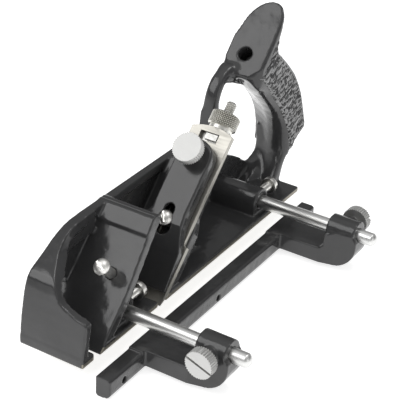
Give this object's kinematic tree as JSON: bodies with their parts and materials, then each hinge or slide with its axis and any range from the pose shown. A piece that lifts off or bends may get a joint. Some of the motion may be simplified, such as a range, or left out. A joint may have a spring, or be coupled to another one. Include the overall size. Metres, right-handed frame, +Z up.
{
  "type": "rebate plane",
  "caption": "Cast metal rebate plane with a side wall, main and bullnose cutter seats, screw-fed cutter, lever cap, open handle and a fence on two rods.",
  "frame": {"origin": "middle of the sole's face, halfway along and across it", "axes": "+X towards the toe, +Y towards the fence, +Z up from the sole"},
  "size_m": [0.2412, 0.1189, 0.1267],
  "materials": {
    "enamel": "gloss",
    "cutter_steel": "satin",
    "nickel": "satin",
    "bright_rod": "polished"
  },
  "bodies": {
    "plane_body": {"body_casting": "enamel", "main_fulcrum_screw": "nickel", "bullnose_fulcrum_screw": "nickel", "adjuster_stud": "bright_rod", "front_fence_rod": "bright_rod", "rear_fence_rod": "bright_rod", "spur_screw": "nickel"},
    "cutter_set": {"cutter": "cutter_steel", "adjuster_slide": "cutter_steel"},
    "nut": {"adjuster_nut": "nickel"},
    "cap": {"lever_cap": "enamel"},
    "cap_screw": {"lever_cap_thumbscrew": "nickel"},
    "fence_body": {"fence": "enamel"},
    "front_thumbscrew": {"front_fence_thumbscrew": "nickel"},
    "rear_thumbscrew": {"rear_fence_thumbscrew": "nickel"},
    "front_lock": {"front_rod_lock_screw": "nickel"},
    "rear_lock": {"rear_rod_lock_screw": "nickel"},
    "stop": {"depth_stop": "enamel"},
    "stop_screw": {"depth_stop_screw": "nickel", "depth_stop_washer": "nickel"},
    "spur_wheel": {"spur": "cutter_steel"}
  },
  "joints": [
    {"name": "cutter_feed", "type": "slide", "parent": "plane_body", "child": "cutter_set", "axis": [0.7071, 0, -0.7071], "range_m": [-0.006, 0.001]},
    {"name": "nut_spin", "type": "hinge", "parent": "cutter_set", "child": "nut", "pos_m": [-0.04, 0.0041, 0.06824], "axis": [0.7071, 0, -0.7071], "range_deg": [-2160, 360]},
    {"name": "lever_cap_slide", "type": "slide", "parent": "plane_body", "child": "cap", "axis": [-0.7071, 0, 0.7071], "range_m": [0, 0.004]},
    {"name": "lever_cap_thumbscrew_turn", "type": "hinge", "parent": "cap", "child": "cap_screw", "pos_m": [-0.00606, 0.0041, 0.06541], "axis": [0.7071, 0, 0.7071], "range_deg": [-180, 180]},
    {"name": "fence_slide", "type": "slide", "parent": "plane_body", "child": "fence_body", "axis": [0, 1, 0], "range_m": [-0.037, 0.008]},
    {"name": "front_thumbscrew_turn", "type": "hinge", "parent": "fence_body", "child": "front_thumbscrew", "pos_m": [0.0662, 0.06825, 0.01], "axis": [1, 0, 0], "range_deg": [-180, 180]},
    {"name": "rear_thumbscrew_turn", "type": "hinge", "parent": "fence_body", "child": "rear_thumbscrew", "pos_m": [-0.068, 0.06825, 0.01], "axis": [1, 0, 0], "range_deg": [-180, 180]},
    {"name": "front_lock_screw_turn", "type": "hinge", "parent": "plane_body", "child": "front_lock", "pos_m": [0.0662, 0.0098, 0.01], "axis": [1, 0, 0], "range_deg": [-180, 180]},
    {"name": "rear_lock_screw_turn", "type": "hinge", "parent": "plane_body", "child": "rear_lock", "pos_m": [-0.068, 0.0098, 0.01], "axis": [1, 0, 0], "range_deg": [-180, 180]},
    {"name": "depth_stop_slide", "type": "slide", "parent": "plane_body", "child": "stop", "axis": [0, 0, 1], "range_m": [-0.008, 0.01]},
    {"name": "depth_stop_screw_turn", "type": "hinge", "parent": "plane_body", "child": "stop_screw", "pos_m": [-0.0115, -0.024, 0.028], "axis": [0, 1, 0], "range_deg": [-180, 180]},
    {"name": "spur_turn", "type": "hinge", "parent": "plane_body", "child": "spur_wheel", "pos_m": [0.0525, -0.0183, 0.0076], "axis": [0, 1, 0], "range_deg": [-180, 180]}
  ],
  "couplings": [
    {"joint": "nut_spin", "follows": "cutter_feed", "rad_per_m": 6283.2}
  ]
}
